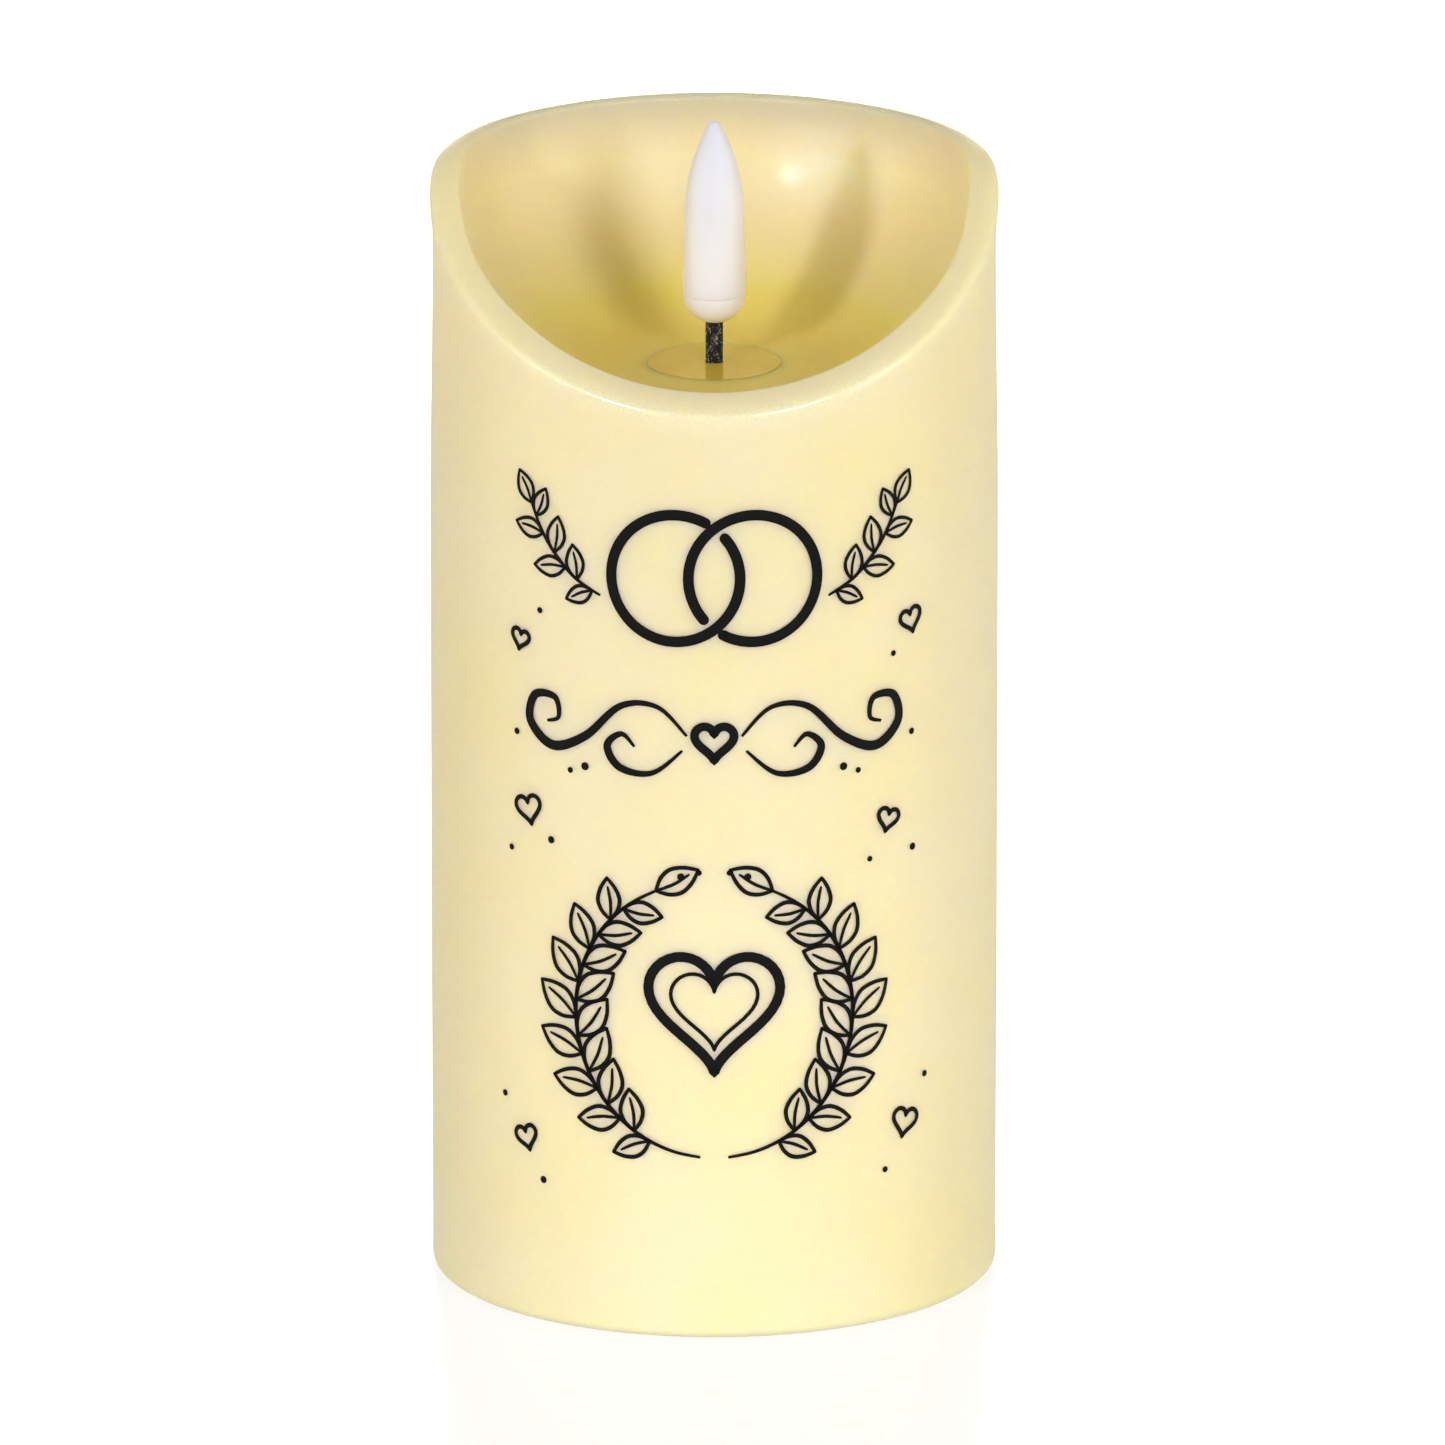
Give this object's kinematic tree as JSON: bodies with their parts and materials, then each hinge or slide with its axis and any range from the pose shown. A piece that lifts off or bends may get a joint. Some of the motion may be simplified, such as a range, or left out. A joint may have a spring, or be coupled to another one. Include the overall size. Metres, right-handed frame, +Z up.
{
  "type": "flameless unity candle",
  "caption": "Hollow ivory wax pillar with a sloping rim, a white lamp flame on a black wick in its bowl, and a battery base with a hinged door and a slide switch.",
  "frame": {"origin": "centre of the foot, on the surface it stands on", "axes": "+Z up along the pillar, the low side of the rim and the printed side towards -Y, +X to the right"},
  "size_m": [0.075, 0.075, 0.156],
  "materials": {
    "wax": "satin ivory paraffin wax, slightly translucent",
    "wax_plug": "glossy honey-ivory moulded plug",
    "wick": "scuffed black sleeve",
    "lamp_plastic": "milky white moulding",
    "led_resin": "warm diffused resin",
    "red_wire": "wire sheath",
    "black_wire": "wire sheath",
    "ivory_plastic": "fine-grained moulding",
    "black_plastic": "fine-grained moulding",
    "screw_steel": "zinc plated",
    "cell_wrap": "plain printed sleeve over a steel can",
    "contact_steel": "nickel plated spring steel",
    "board_green": "solder mask on glass laminate",
    "chip_black": "moulded package",
    "switch_can": "pressed can"
  },
  "bodies": {
    "candle": {"wax_pillar": "wax", "wick_holder": "wax_plug", "wick_sleeve": "wick", "lamp_cup": "lamp_plastic", "lamp_shell": "lamp_plastic", "lamp_led": "led_resin", "lamp_wire_red": "red_wire", "lamp_wire_black": "black_wire", "base_cap": "ivory_plastic", "battery_holder": "black_plastic", "holder_screws": "screw_steel", "battery_cell_front": "cell_wrap", "battery_cell_rear": "cell_wrap", "positive_contact": "contact_steel", "negative_contact": "contact_steel", "negative_spring": "contact_steel", "bridge_contact": "contact_steel", "bridge_spring": "contact_steel", "battery_wire_red": "red_wire", "battery_wire_black": "black_wire", "circuit_board": "board_green", "board_screws": "screw_steel", "timer_chip": "chip_black", "chip_resistors": "chip_black", "switch_housing": "switch_can"},
    "door": {"battery_door": "ivory_plastic"},
    "switch": {"switch_slider": "black_plastic"}
  },
  "joints": [
    {"name": "door_hinge", "type": "hinge", "parent": "candle", "child": "door", "pos_m": [-0.0252, 0, 0.0018], "axis": [0, 1, 0], "range_deg": [0, 60]},
    {"name": "switch_slide", "type": "slide", "parent": "candle", "child": "switch", "axis": [1, 0, 0], "range_m": [0, 0.004]}
  ]
}
